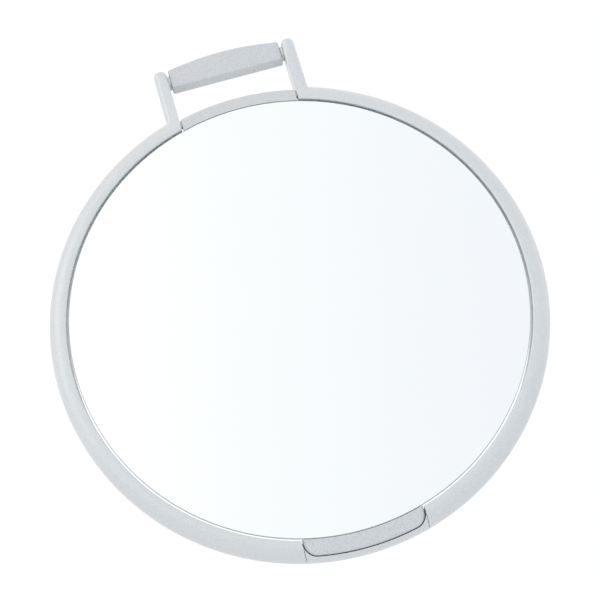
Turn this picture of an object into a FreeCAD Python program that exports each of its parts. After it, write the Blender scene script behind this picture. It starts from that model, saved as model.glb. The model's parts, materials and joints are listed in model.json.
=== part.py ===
import FreeCAD
import Part
import Sketcher
import os
import re
from math import sqrt

# Round salon hand mirror. A silver ring, split into a front and a rear shell, turns up at the top
# into two posts with a grip bar between them. A mirror disc hangs inside the ring on two hinge
# pins in the post roots, and its lower edge swings forward, so that ring and disc stand as an
# A-frame. X runs across, +Y to the back, +Z up through the grip. The origin is the centre of the
# mirror's front face.

DIMENSIONS = {
    # ring
    "RingRadius": 150, "LipRadius": 138.9, "LipProud": 0.8, "LipRound": 1.0,
    "FrontRound": 8.5, "RearRound": 6.5, "InnerRound": 1.5, "SplitDepth": 8.5, "RingRear": 17,
    "ShellWall": 2.2, "HollowHalfAngle": 70,
    # posts at the ends of the ring
    "PostInner": 37.6, "PostWidth": 8, "PostTop": 178, "PostFront": 0.5, "PostRear": 16.5,
    "TipRound": 3.5, "PostFlare": 4, "PostRootRadius": 140, "PostEdgeRound": 3.2,
    "PostEdgeFoot": 143,
    # mirror disc
    "GlassRadius": 137.7, "GlassThickness": 2, "GlassChamfer": 0.4, "SeatRadius": 138,
    "TapeThickness": 0.8, "TapeOuter": 132, "TapeInner": 120, "TapeCentre": 40,
    "CarrierRadius": 135.5, "CarrierWall": 2.2, "CarrierFloor": 2, "CarrierRear": 10.4,
    "CoverThickness": 2, "CoverRadius": 135.3,
    # hinge tab between the posts
    "HingeTabHalf": 36.6, "HingeTabRadius": 146.2, "HingeTabFoot": 126, "HingeTabRear": 9,
    "HingeDepth": 3, "HingeHeight": 138.3, "PinRadius": 1.25, "PinReach": 43.2, "PinStart": 29,
    "BushRadius": 2, "BushLength": 8, "RunningClearance": 0.05,
    "HingeWasherRadius": 2.6, "HingeWasherThickness": 0.7,
    # pull tab in the bottom notch
    "TabHalf": 35.9, "TabRadius": 147.2, "TabCorner": 8, "TabGap": 0.7, "TabRear": 7.9,
    "TabEdgeRound": 2.5, "TongueHalf": 34, "TongueRadius": 145.5, "TabFoot": 125,
    # closing catch
    "CatchHeight": 143, "CatchRadius": 2.4, "MagnetThickness": 2, "PlateThickness": 1,
    # grip
    "RodRadius": 3, "RodHalf": 44, "RodHeight": 171, "CoreRadius": 4, "CoreHalf": 33,
    "SleeveHalf": 36, "SleeveBottom": 165.3, "SleeveTopRadius": 181.5, "SleeveRound": 4,
    "SleeveFront": 3.5, "SleeveRear": 13.5,
    "GripWasherRadius": 4.5, "GripWasherThickness": 1.4, "BoreClearance": 0.05,
    # screws and feet
    "ScrewCircle": 143.5, "ScrewAngleLow": 14, "ScrewAngleHigh": 42, "PostScrewHeight": 157,
    "ScrewRadius": 1.1, "ScrewHeadRadius": 2.1, "ScrewHeadHeight": 1.5, "ScrewSeat": 15,
    "ScrewTip": 3, "ScrewClearance": 0.2, "BossRadius": 2.8,
    "CoverScrewCircle": 118, "CoverScrewTip": 5.4, "CoverHeadHeight": 1, "CoverBossRadius": 3,
    "FootAngle": 64, "FootRadius": 2.8, "FootSeat": 15.8, "FootRear": 17.8,
    # how far a cut runs past the face that it opens
    "CutMargin": 5,
}

COVER_SCREW_ANGLES = [30, 90, 150, 210, 270, 330]
TOUCH = 0.01          # mm, under which an edge counts as flat or as lying on a face
SMALLEST_EDGE = 1     # mm
SMALLEST_CUT = 1      # mm3, under which a pocket has missed the solid
ALONG_X = FreeCAD.Rotation(FreeCAD.Vector(0, 1, 0), 90)
ALONG_Y = FreeCAD.Rotation(FreeCAD.Vector(1, 0, 0), -90)

doc = FreeCAD.newDocument("hand_mirror")
sheet = doc.addObject("Spreadsheet::Sheet", "Sheet")
for row, (alias, size) in enumerate(DIMENSIONS.items(), start=1):
    sheet.set(f"A{row}", alias)
    sheet.set(f"B{row}", str(size))
    sheet.setAlias(f"B{row}", alias)
doc.recompute()


# ---------------------------------------------------------------- helpers

def value(expression):
    """The number that an expression of sheet aliases has now."""
    return float(sheet.evalExpression(expression))


def linked(expression):
    """The same expression, as other objects of the document have to write it."""
    return re.sub(r"\b[A-Z]\w+", r"Sheet.\g<0>", expression)


def bind(item, prop, expression):
    item.setExpression(prop, linked(expression))


def new_body(name):
    body = doc.addObject("PartDesign::Body", name)
    body.Label = name
    return body


def new_sketch(body, name, plane, offset):
    """A sketch on one of the body's own origin planes, moved along that plane's normal."""
    origin_plane = next(f for f in body.Origin.OriginFeatures if f.Role == plane)
    drawing = body.newObject("Sketcher::SketchObject", name)
    drawing.AttachmentSupport = [(origin_plane, "")]
    drawing.MapMode = "FlatFace"
    bind(drawing, "AttachmentOffset.Base.z", offset)
    return drawing


def pin_point(drawing, geometry, place, x, y):
    """Hold a point at two bound distances from the sketch's origin."""
    for kind, expression in (("DistanceX", x), ("DistanceY", y)):
        index = drawing.addConstraint(
            Sketcher.Constraint(kind, -1, 1, geometry, place, value(expression)))
        drawing.setExpression(f"Constraints[{index}]", linked(expression))


def pin_radius(drawing, geometry, radius):
    index = drawing.addConstraint(Sketcher.Constraint("Radius", geometry, value(radius)))
    drawing.setExpression(f"Constraints[{index}]", linked(radius))


def draw_circle(drawing, x, y, radius):
    centre = FreeCAD.Vector(value(x), value(y), 0)
    circle = Part.Circle(centre, FreeCAD.Vector(0, 0, 1), value(radius))
    geometry = drawing.addGeometry(circle)
    pin_point(drawing, geometry, 3, x, y)
    pin_radius(drawing, geometry, radius)


def arc_between(start, end, radius, turn):
    """The short arc from start to end; turn is 1 for anticlockwise, -1 for clockwise."""
    chord = end - start
    left = FreeCAD.Vector(-chord.y, chord.x, 0).normalize()
    rise = sqrt(max(radius ** 2 - (chord.Length / 2) ** 2, 0))
    centre = (start + end) * 0.5 + left * (rise * turn)
    circle = Part.Circle(centre, FreeCAD.Vector(0, 0, 1), radius)
    first, last = (start, end) if turn > 0 else (end, start)
    return Part.ArcOfCircle(circle, circle.parameter(first), circle.parameter(last))


def draw_outline(drawing, corners):
    """A closed outline. A corner is (x, y), or (x, y, radius, turn) where an arc leaves it."""
    places = [FreeCAD.Vector(value(corner[0]), value(corner[1]), 0) for corner in corners]
    ends = []
    for index, corner in enumerate(corners):
        start, end = places[index], places[(index + 1) % len(corners)]
        if len(corner) == 2:
            geometry = drawing.addGeometry(Part.LineSegment(start, end))
            ends.append((geometry, 1, 2))
        else:
            radius, turn = corner[2:]
            geometry = drawing.addGeometry(arc_between(start, end, value(radius), turn))
            ends.append((geometry, 1, 2) if turn > 0 else (geometry, 2, 1))
    for index, (geometry, start_place, end_place) in enumerate(ends):
        after, after_start, _ = ends[(index + 1) % len(ends)]
        drawing.addConstraint(
            Sketcher.Constraint("Coincident", geometry, end_place, after, after_start))
        pin_point(drawing, geometry, start_place, *corners[index][:2])
        if len(corners[index]) > 2:
            pin_radius(drawing, geometry, corners[index][2])


def turned(body, name, corners, angle="360", cut=False):
    """Turn an outline of (radius, depth) corners about the Y axis, centred on the X axis."""
    drawing = new_sketch(body, name + "_section", "XY_Plane", "0")
    draw_outline(drawing, corners)
    feature = body.newObject("PartDesign::Groove" if cut else "PartDesign::Revolution", name)
    feature.Profile = drawing
    feature.ReferenceAxis = (drawing, ["V_Axis"])
    feature.Midplane = True
    bind(feature, "Angle", angle)
    return feature


def plate(body, name, draw, front, rear):
    """Add material between two depths, in the outline that draw puts in a front-view sketch."""
    drawing = new_sketch(body, name + "_outline", "XZ_Plane", f"-({rear})")
    draw(drawing)
    feature = body.newObject("PartDesign::Pad", name)
    feature.Profile = drawing
    bind(feature, "Length", f"({rear}) - ({front})")
    return feature


def recess(body, name, draw, front, rear):
    """Cut away material between two depths."""
    drawing = new_sketch(body, name + "_outline", "XZ_Plane", f"-({front})")
    draw(drawing)
    feature = body.newObject("PartDesign::Pocket", name)
    feature.Profile = drawing
    bind(feature, "Length", f"({rear}) - ({front})")
    return feature


def cross_bore(body, name, depth, height, radius, length, right_end=None):
    """Bore along X: centred on the middle plane, or from right_end towards -X."""
    drawing = new_sketch(body, name + "_outline", "YZ_Plane", right_end or "0")
    draw_circle(drawing, depth, height, radius)
    feature = body.newObject("PartDesign::Pocket", name)
    feature.Profile = drawing
    feature.Midplane = right_end is None
    bind(feature, "Length", length)
    return feature


def dress_edges(body, name, amount, chosen, kind="Fillet", size="Radius"):
    """Fillet or chamfer the edges of the last feature whose bounding box chosen accepts."""
    doc.recompute()
    base = body.Tip
    names = [f"Edge{number}" for number, edge in enumerate(base.Shape.Edges, start=1)
             if chosen(edge.BoundBox)]
    feature = body.newObject(f"PartDesign::{kind}", name)
    feature.Base = (base, names)
    bind(feature, size, amount)
    return feature


def cylinder(name, rotation, radius, length, x, y, z):
    """A cylinder that starts at (x, y, z) and runs along +X or +Y."""
    item = doc.addObject("Part::Cylinder", name)
    item.Label = name
    item.Placement.Rotation = rotation
    bind(item, "Radius", radius)
    bind(item, "Height", length)
    for axis, expression in zip("xyz", (x, y, z)):
        bind(item, f"Placement.Base.{axis}", expression)
    return item


def tube(name, rotation, radius, bore, length, x, y, z):
    item = doc.addObject("Part::Cut", name)
    item.Base = cylinder(name + "_outside", rotation, radius, length, x, y, z)
    item.Tool = cylinder(name + "_bore", rotation, bore, length, x, y, z)
    item.Label = name
    return item


def group(name, members):
    item = doc.addObject("Part::Compound", name)
    item.Links = members
    item.Label = name
    return item


def screws(name, places, seat, head_height, tip):
    """Pan-head screws from the rear, one at each (x, z)."""
    members = []
    for number, (x, z) in enumerate(places, start=1):
        screw = doc.addObject("Part::Fuse", f"{name}_{number}")
        screw.Base = cylinder(f"{name}_{number}_head", ALONG_Y, "ScrewHeadRadius", head_height,
                              x, seat, z)
        screw.Tool = cylinder(f"{name}_{number}_shank", ALONG_Y, "ScrewRadius",
                              f"({seat}) - ({tip})", x, tip, z)
        members.append(screw)
    return group(name, members)


# ---------------------------------------------------------------- places and outlines

def four_ways(radius, angle):
    """Four places at the same angle above and below the X axis, left and right."""
    return [(f"{side} * {radius} * cos({angle})", f"{rise} * {radius} * sin({angle})")
            for side in (1, -1) for rise in (1, -1)]


POST_SCREWS = [(f"{side} * (PostInner + PostWidth / 2)", "PostScrewHeight") for side in (1, -1)]
RING_SCREWS = (four_ways("ScrewCircle", "ScrewAngleLow")
               + four_ways("ScrewCircle", "ScrewAngleHigh"))
FEET = four_ways("ScrewCircle", "FootAngle")
COVER_SCREWS = [(f"CoverScrewCircle * cos({angle})", f"CoverScrewCircle * sin({angle})")
                for angle in COVER_SCREW_ANGLES]


def circles(places, radius):
    def draw(drawing):
        for x, z in places:
            draw_circle(drawing, x, z, radius)
    return draw


def disc(radius):
    return circles([("0", "0")], radius)


def outline(corners):
    return lambda drawing: draw_outline(drawing, corners)


def draw_posts(drawing):
    """Both posts: upright sides, a rounded tip, and a flare that runs out into the ring."""
    outer = "(PostInner + PostWidth)"
    flare_x = "(PostInner + PostWidth + PostFlare)"
    flare_z = f"sqrt((RingRadius + PostFlare)^2 - {flare_x}^2)"
    onto_ring = "RingRadius / (RingRadius + PostFlare)"
    for side in (1, -1):
        draw_outline(drawing, [
            (f"{side} * PostInner", "sqrt(PostRootRadius^2 - PostInner^2)"),
            (f"{side} * PostInner", "PostTop - TipRound", "TipRound", -side),
            (f"{side} * (PostInner + TipRound)", "PostTop"),
            (f"{side} * ({outer} - TipRound)", "PostTop", "TipRound", -side),
            (f"{side} * {outer}", "PostTop - TipRound"),
            (f"{side} * {outer}", flare_z, "PostFlare", side),
            (f"{side} * {flare_x} * {onto_ring}", f"{flare_z} * {onto_ring}"),
            (f"{side} * {outer}", f"sqrt(PostRootRadius^2 - {outer}^2)"),
        ])


def tab_outline(half, radius, corner, top):
    """The foot tab from the front: straight sides, rounded corners, lower edge on the ring."""
    corner_x = f"(({half}) - ({corner}))"
    corner_z = f"sqrt((({radius}) - ({corner}))^2 - {corner_x}^2)"
    onto_edge = f"({radius}) / (({radius}) - ({corner}))"
    low_x = f"{corner_x} * {onto_edge}"
    low_z = f"-{corner_z} * {onto_edge}"
    return outline([
        (f"-({half})", f"-({top})"),
        (f"-({half})", f"-{corner_z}", corner, 1),
        (f"-{low_x}", low_z, radius, 1),
        (low_x, low_z, corner, 1),
        (half, f"-{corner_z}"),
        (half, f"-({top})"),
    ])


def arched_bar(half, bottom, radius):
    """A bar with a straight lower edge and an upper edge that follows a circle round the ring."""
    top = f"sqrt({radius}^2 - {half}^2)"
    return outline([
        (f"-{half}", bottom),
        (half, bottom),
        (half, top, radius, 1),
        (f"-{half}", top),
    ])


# ---------------------------------------------------------------- frame

def round_post_edges(body, face):
    """Round the edges of the posts' outer face, which lies at the depth face."""
    dress_edges(body, body.Name + "_post_edges", "PostEdgeRound", lambda box: (
        abs(box.YMin - value(face)) < TOUCH and abs(box.YMax - value(face)) < TOUCH
        and box.ZMax > value("PostEdgeFoot")))


def open_ring_top(body):
    """Open the ring between the posts, where the hinge tab of the mirror disc sits."""
    recess(body, body.Name + "_gap", outline([
        ("-PostInner", "HingeTabFoot - CutMargin"), ("PostInner", "HingeTabFoot - CutMargin"),
        ("PostInner", "RingRadius + CutMargin"), ("-PostInner", "RingRadius + CutMargin"),
    ]), "-CutMargin", "RingRear + CutMargin")


def hollow_ring(body, corners):
    """Hollow both sides of the ring, and leave it solid at the posts and the bottom notch."""
    for side, word in ((1, "right"), (-1, "left")):
        mirrored = [(f"{side} * ({corner[0]})", corner[1]) if len(corner) == 2 else
                    (f"{side} * ({corner[0]})", corner[1], corner[2], side * corner[3])
                    for corner in corners]
        turned(body, f"{body.Name}_hollow_{word}", mirrored, "2 * HollowHalfAngle", cut=True)


def frame_front():
    body = new_body("frame_front")
    turned(body, "front_ring", [
        ("LipRadius", "SplitDepth"),
        ("LipRadius", "LipRound - LipProud", "LipRound", 1),
        ("LipRadius + LipRound", "-LipProud"),
        ("RingRadius - FrontRound", "-LipProud", "FrontRound", 1),
        ("RingRadius", "FrontRound - LipProud"),
        ("RingRadius", "SplitDepth"),
    ])
    plate(body, "front_posts", draw_posts, "PostFront", "SplitDepth")
    round_post_edges(body, "PostFront")
    open_ring_top(body)
    hollow_ring(body, [
        ("LipRadius + ShellWall", "SplitDepth"),
        ("LipRadius + ShellWall", "ShellWall - LipProud"),
        ("RingRadius - FrontRound", "ShellWall - LipProud", "FrontRound - ShellWall", 1),
        ("RingRadius - ShellWall", "FrontRound - LipProud"),
        ("RingRadius - ShellWall", "SplitDepth"),
    ])
    recess(body, "front_notch", tab_outline(
        "TabHalf + TabGap", "TabRadius + TabGap", "TabCorner + TabGap", "TabFoot"),
        "-CutMargin", "SplitDepth")
    plate(body, "front_bosses", circles(RING_SCREWS, "BossRadius"),
          "ShellWall - LipProud", "SplitDepth")
    recess(body, "front_screw_holes", circles(RING_SCREWS + POST_SCREWS, "ScrewRadius"),
           "ScrewTip", "SplitDepth")
    cross_bore(body, "front_rod_saddle", "SplitDepth", "RodHeight", "RodRadius", "2 * RodHalf")
    cross_bore(body, "front_pin_holes", "HingeDepth", "HingeHeight", "PinRadius",
               "2 * PinReach")
    return body


def frame_rear():
    body = new_body("frame_rear")
    turned(body, "rear_ring", [
        ("RingRadius", "SplitDepth"),
        ("RingRadius", "RingRear - RearRound", "RearRound", 1),
        ("RingRadius - RearRound", "RingRear"),
        ("LipRadius + InnerRound", "RingRear", "InnerRound", 1),
        ("LipRadius", "RingRear - InnerRound"),
        ("LipRadius", "SplitDepth"),
    ])
    plate(body, "rear_posts", draw_posts, "SplitDepth", "PostRear")
    round_post_edges(body, "PostRear")
    open_ring_top(body)
    hollow_ring(body, [
        ("RingRadius - ShellWall", "SplitDepth"),
        ("RingRadius - ShellWall", "RingRear - RearRound", "RearRound - ShellWall", 1),
        ("RingRadius - RearRound", "RingRear - ShellWall"),
        ("LipRadius + ShellWall", "RingRear - ShellWall"),
        ("LipRadius + ShellWall", "SplitDepth"),
    ])
    plate(body, "rear_bosses", circles(RING_SCREWS, "BossRadius"),
          "SplitDepth", "RingRear - ShellWall")
    recess(body, "rear_screw_holes",
           circles(RING_SCREWS + POST_SCREWS, "ScrewRadius + ScrewClearance"),
           "SplitDepth", "RingRear")
    recess(body, "rear_screw_seats",
           circles(RING_SCREWS + POST_SCREWS, "ScrewHeadRadius + ScrewClearance"),
           "ScrewSeat", "RingRear + CutMargin")
    recess(body, "rear_foot_seats", circles(FEET, "FootRadius"), "FootSeat", "RingRear + CutMargin")
    recess(body, "rear_magnet_seat", circles([("0", "-CatchHeight")], "CatchRadius"),
           "SplitDepth", "SplitDepth + MagnetThickness")
    cross_bore(body, "rear_rod_saddle", "SplitDepth", "RodHeight", "RodRadius", "2 * RodHalf")
    return body


def grip():
    """The rod that ties the posts, a stiff core on it, the soft sleeve and two end washers."""
    rod = cylinder("grip_rod", ALONG_X, "RodRadius", "2 * RodHalf",
                   "-RodHalf", "SplitDepth", "RodHeight")
    core = tube("grip_core", ALONG_X, "CoreRadius", "RodRadius", "2 * CoreHalf",
                "-CoreHalf", "SplitDepth", "RodHeight")
    sleeve = new_body("grip_sleeve")
    plate(sleeve, "sleeve_bar", arched_bar("SleeveHalf", "SleeveBottom", "SleeveTopRadius"),
          "SleeveFront", "SleeveRear")
    dress_edges(sleeve, "sleeve_long_edges", "SleeveRound", lambda box: (
        box.XLength > value("SleeveHalf") and box.YLength < TOUCH))
    cross_bore(sleeve, "sleeve_core_bore", "SplitDepth", "RodHeight", "CoreRadius",
               "2 * CoreHalf")
    cross_bore(sleeve, "sleeve_rod_bore", "SplitDepth", "RodHeight",
               "RodRadius + BoreClearance", "2 * SleeveHalf + CutMargin")
    gap_middle = "((SleeveHalf + PostInner) / 2)"
    washers = [tube(f"grip_washer_{word}", ALONG_X, "GripWasherRadius",
                    "RodRadius + BoreClearance", "GripWasherThickness",
                    f"{side} * {gap_middle} - GripWasherThickness / 2",
                    "SplitDepth", "RodHeight")
               for side, word in ((1, "right"), (-1, "left"))]
    return [rod, core, sleeve] + washers


def hinge_hardware():
    """Pins pressed into the post roots, bushes in the hinge tab, a washer in each gap."""
    parts = []
    for side, word in ((1, "right"), (-1, "left")):
        pin_left_end = "PinStart" if side > 0 else "-PinReach"
        bush_left_end = "HingeTabHalf - BushLength" if side > 0 else "-HingeTabHalf"
        gap_middle = "((HingeTabHalf + PostInner) / 2)"
        parts += [
            cylinder(f"hinge_pin_{word}", ALONG_X, "PinRadius", "PinReach - PinStart",
                     pin_left_end, "HingeDepth", "HingeHeight"),
            tube(f"hinge_bush_{word}", ALONG_X, "BushRadius", "PinRadius + RunningClearance",
                 "BushLength", bush_left_end, "HingeDepth", "HingeHeight"),
            tube(f"hinge_washer_{word}", ALONG_X, "HingeWasherRadius",
                 "PinRadius + RunningClearance", "HingeWasherThickness",
                 f"{side} * {gap_middle} - HingeWasherThickness / 2",
                 "HingeDepth", "HingeHeight"),
        ]
    return parts


def frame_fittings():
    feet = group("foot_pads", [
        cylinder(f"foot_pad_{number}", ALONG_Y, "FootRadius", "FootRear - FootSeat",
                 x, "FootSeat", z)
        for number, (x, z) in enumerate(FEET, start=1)])
    magnet = cylinder("catch_magnet", ALONG_Y, "CatchRadius", "MagnetThickness",
                      "0", "SplitDepth", "-CatchHeight")
    frame_screws = screws("frame_screws", RING_SCREWS + POST_SCREWS, "ScrewSeat",
                          "ScrewHeadHeight", "ScrewTip")
    return [feet, magnet, frame_screws]


# ---------------------------------------------------------------- mirror disc

def mirror_glass():
    body = new_body("mirror_glass")
    plate(body, "glass_disc", disc("GlassRadius"), "0", "GlassThickness")
    dress_edges(body, "glass_ground_edge", "GlassChamfer", lambda box: box.YLength < TOUCH,
                kind="Chamfer", size="Size")
    return body


def glass_tape():
    return group("glass_tape", [
        tube("glass_tape_ring", ALONG_Y, "TapeOuter", "TapeInner", "TapeThickness",
             "0", "GlassThickness", "0"),
        cylinder("glass_tape_centre", ALONG_Y, "TapeCentre", "TapeThickness",
                 "0", "GlassThickness", "0"),
    ])


def mirror_carrier():
    """Dish behind the glass, with the hinge tab at the top and the tongue at the bottom."""
    floor_front = "(GlassThickness + TapeThickness)"
    floor_rear = f"({floor_front} + CarrierFloor)"
    body = new_body("mirror_carrier")
    plate(body, "carrier_dish", disc("CarrierRadius"), floor_front, "CarrierRear")
    recess(body, "carrier_hollow", disc("CarrierRadius - CarrierWall"), floor_rear,
           "CarrierRear")
    plate(body, "carrier_hinge_tab",
          arched_bar("HingeTabHalf", "HingeTabFoot", "HingeTabRadius"), "0", "HingeTabRear")
    dress_edges(body, "carrier_hinge_tab_edge", "TabEdgeRound", lambda box: (
        box.YMax < TOUCH and box.ZMin > value("HingeTabFoot") + TOUCH
        and box.XLength > SMALLEST_EDGE))
    recess(body, "carrier_glass_seat", disc("SeatRadius"), "-CutMargin", floor_front)
    plate(body, "carrier_tongue", tab_outline(
        "TongueHalf", "TongueRadius", "TabCorner", "TabFoot"), floor_rear, "TabRear")
    recess(body, "carrier_plate_seat", circles([("0", "-CatchHeight")], "CatchRadius"),
           "TabRear - PlateThickness", "TabRear")
    plate(body, "carrier_bosses", circles(COVER_SCREWS, "CoverBossRadius"),
          floor_rear, "CarrierRear")
    recess(body, "carrier_screw_holes", circles(COVER_SCREWS, "ScrewRadius"),
           "CoverScrewTip", "CarrierRear")
    for word, right_end in (("right", "HingeTabHalf"), ("left", "BushLength - HingeTabHalf")):
        cross_bore(body, f"carrier_bush_hole_{word}", "HingeDepth", "HingeHeight",
                   "BushRadius", "BushLength", right_end)
    return body


def carrier_cover():
    cover_rear = "(CarrierRear + CoverThickness)"
    body = new_body("carrier_cover")
    plate(body, "cover_disc", disc("CoverRadius"), "CarrierRear", cover_rear)
    recess(body, "cover_screw_holes", circles(COVER_SCREWS, "ScrewRadius + ScrewClearance"),
           "CarrierRear", cover_rear)
    recess(body, "cover_screw_seats", circles(COVER_SCREWS, "ScrewHeadRadius + ScrewClearance"),
           f"{cover_rear} - CoverHeadHeight - ScrewClearance", cover_rear)
    return body


def cover_screws():
    seat = "(CarrierRear + CoverThickness - CoverHeadHeight - ScrewClearance)"
    return screws("cover_screws", COVER_SCREWS, seat, "CoverHeadHeight", "CoverScrewTip")


def pull_tab():
    """Soft cap over the tongue: it fills the notch, and the mirror stands on it."""
    floor_rear = "(GlassThickness + TapeThickness + CarrierFloor)"
    body = new_body("pull_tab")
    plate(body, "tab_block", tab_outline("TabHalf", "TabRadius", "TabCorner", "TabFoot"),
          "0", "TabRear")
    dress_edges(body, "tab_front_edge", "TabEdgeRound", lambda box: (
        box.YMax < TOUCH and box.ZMin < -value("TabFoot") - TOUCH))
    recess(body, "tab_disc_clearance", disc("SeatRadius"), "-CutMargin", "TabRear")
    recess(body, "tab_tongue_slot", tab_outline(
        "TongueHalf", "TongueRadius", "TabCorner", "TabFoot"), floor_rear, "TabRear")
    return body


def catch_plate():
    return cylinder("catch_plate", ALONG_Y, "CatchRadius", "PlateThickness",
                    "0", "TabRear - PlateThickness", "-CatchHeight")


# ---------------------------------------------------------------- build, check and write

subparts = [frame_front(), frame_rear()]
subparts += grip()
subparts += hinge_hardware()
subparts += frame_fittings()
subparts += [mirror_glass(), glass_tape(), mirror_carrier(), carrier_cover(), cover_screws(),
             pull_tab(), catch_plate()]
doc.recompute()

for item in doc.Objects:
    if "Invalid" in item.State or "Error" in item.State:
        raise RuntimeError(f"{item.Label} failed: {item.State}")
    if item.TypeId in ("PartDesign::Pocket", "PartDesign::Groove"):
        removed = item.BaseFeature.Shape.Volume - item.Shape.Volume
        if removed < SMALLEST_CUT:
            raise RuntimeError(f"{item.Label} cuts nothing")
for part in subparts:
    if part.Shape.isNull() or not part.Shape.isValid():
        raise RuntimeError(f"{part.Label} has no valid shape")

os.makedirs("parts", exist_ok=True)
for part in subparts:
    part.Shape.exportStep(f"parts/{part.Label}.step")
    print(f"{part.Label}: {len(part.Shape.Solids)} solid(s), {part.Shape.Volume / 1000:.2f} cm3")
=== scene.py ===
import json
from math import asin, ceil, cos, pi, radians, sin, sqrt

import bmesh
import bpy
from mathutils import Matrix, Vector


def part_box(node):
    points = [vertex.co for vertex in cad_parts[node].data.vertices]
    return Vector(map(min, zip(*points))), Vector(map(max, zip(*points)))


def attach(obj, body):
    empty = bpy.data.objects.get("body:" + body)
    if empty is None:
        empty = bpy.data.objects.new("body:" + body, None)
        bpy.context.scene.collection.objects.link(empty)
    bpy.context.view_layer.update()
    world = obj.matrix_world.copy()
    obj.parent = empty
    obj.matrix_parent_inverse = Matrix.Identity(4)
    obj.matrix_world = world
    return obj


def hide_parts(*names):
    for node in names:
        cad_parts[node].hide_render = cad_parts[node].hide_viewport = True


# A round salon hand mirror: a silver ring of two shells with two posts and a grip bar at the top,
# and a mirror disc inside it that swings forward on a hinge between the post roots.

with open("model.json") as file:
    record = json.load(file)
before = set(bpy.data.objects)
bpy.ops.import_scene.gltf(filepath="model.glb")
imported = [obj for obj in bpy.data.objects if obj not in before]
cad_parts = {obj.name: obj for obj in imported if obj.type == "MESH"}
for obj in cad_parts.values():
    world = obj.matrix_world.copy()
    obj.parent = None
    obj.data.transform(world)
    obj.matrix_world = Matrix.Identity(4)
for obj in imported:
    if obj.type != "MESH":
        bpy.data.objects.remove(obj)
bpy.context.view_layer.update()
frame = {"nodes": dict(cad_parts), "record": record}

MM = 0.001
TOUCH = 0.01 * MM        # within which two places count as one
HAIRLINE = 0.05 * MM     # kept between faces that would otherwise lie on each other
OVERLAP = 0.1 * MM       # how far two solids run into each other where they are fused
OVERRUN = 5 * MM         # how far a cut runs past the face that it opens
MERGE = 0.002 * MM       # within which vertices are merged
SLIVER = 0.0005 * MM     # under which a face is too thin to keep
SLACK = 0.5 * MM         # takes in an edge that ends just short of a place
FACING = 0.99            # least share of a normal along Y on a flat front or rear
GLASS_GAP = 1.2 * MM
WASHER_PLAY = 0.1 * MM
ROD_COVER = 1.6 * MM     # the post beyond the end of the rod
front_low, front_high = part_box("frame_front")
rear_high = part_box("frame_rear")[1]
glass_low, glass_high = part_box("mirror_glass")
cover_low, cover_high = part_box("carrier_cover")
sleeve_low, sleeve_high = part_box("grip_sleeve")
tab_low, tab_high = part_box("pull_tab")
carrier_low, carrier_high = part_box("mirror_carrier")
rod_low, rod_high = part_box("grip_rod")
washer_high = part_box("grip_washer_right")[1]
foot_low, foot_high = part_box("foot_pads")
bush_low, bush_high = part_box("hinge_bush_right")

RING_RADIUS = (front_high.x - front_low.x) / 2
GLASS_RADIUS = (glass_high.x - glass_low.x) / 2
LIP_RADIUS = GLASS_RADIUS + GLASS_GAP
LIP_FRONT = front_low.y
SPLIT = front_high.y
RING_REAR = rear_high.y
POST_INNER = washer_high.x + WASHER_PLAY
POST_OUTER = rod_high.x + ROD_COVER
POST_TOP = front_high.z
POST_INSET = 0.5 * MM
POST_FRONT = POST_INSET
POST_REAR = RING_REAR - POST_INSET
ROD_CENTRE = (rod_low + rod_high) / 2

FRONT_ROUND = 8.5 * MM
REAR_ROUND = 6.5 * MM
LIP_ROUND = 1.0 * MM
INNER_ROUND = 1.5 * MM
SPLIT_BEVEL = 0.25 * MM
POST_FLARE = 4.0 * MM
FLARE_DEPTH = 2.0 * MM
POST_ROOT_INSET = 2.0 * MM
POST_TIP_ROUND = 3.5 * MM
POST_EDGE_ROUND = 3.2 * MM
TAB_GAP = 0.7 * MM
TAB_CORNER = 8.0 * MM
NOTCH_REACH = 8.0 * MM
SEAM = 0.3 * MM
SLEEVE_END_ROUND = 2.0 * MM
SLEEVE_FACE_ROUND = 2.5 * MM
SLEEVE_EDGE_ROUND = 1.2 * MM
ARCH_STEPS = 16

SCREW_CIRCLE = 143.5 * MM
SCREW_ANGLES = (14, 42)
POST_SCREW_HEIGHT = 157 * MM
SCREW_SEAT = 15 * MM
HEAD_RADIUS = 2.1 * MM
FOOT_ANGLE = 64
FOOT_RADIUS = 2.8 * MM
FOOT_PLAY = 0.1 * MM
FOOT_RIM_ROUND = 0.6 * MM
DIMPLE_RIM = 0.7 * MM
DIMPLE_SLOPE = 0.3 * MM
DIMPLE_DEPTH = 0.25 * MM
COVER_SCREW_CIRCLE = 118 * MM
COVER_SCREW_ANGLES = (30, 90, 150, 210, 270, 330)
COVER_HEAD_HEIGHT = 1.0 * MM
SEAT_CLEARANCE = 0.2 * MM
SHANK_RADIUS = 1.1 * MM
BOSS_RADIUS = 3.0 * MM

GROUND_EDGE = 0.4 * MM
SEAT_GAP = 0.3 * MM
TAPE_THICKNESS = 0.8 * MM
CARRIER_RADIUS = carrier_high.x
DISH_WALL = 2.2 * MM
DISH_EDGE_ROUND = 0.6 * MM
FLOOR_THICKNESS = 2.0 * MM
HINGE_TAB_HALF = 36.6 * MM
HINGE_TAB_FOOT = 126 * MM
HINGE_TAB_REAR = 9.0 * MM
HINGE_TAB_ROUND = 2.5 * MM
HINGE_TAB_REAR_ROUND = 0.8 * MM
BUSH_RADIUS = (bush_high.z - bush_low.z) / 2
BUSH_LENGTH = bush_high.x - bush_low.x
PIN_CENTRE = (bush_low + bush_high) / 2
TONGUE_HALF = 34 * MM
TONGUE_REAR = tab_high.y
COVER_RIM_ROUND = 1.2 * MM
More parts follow.
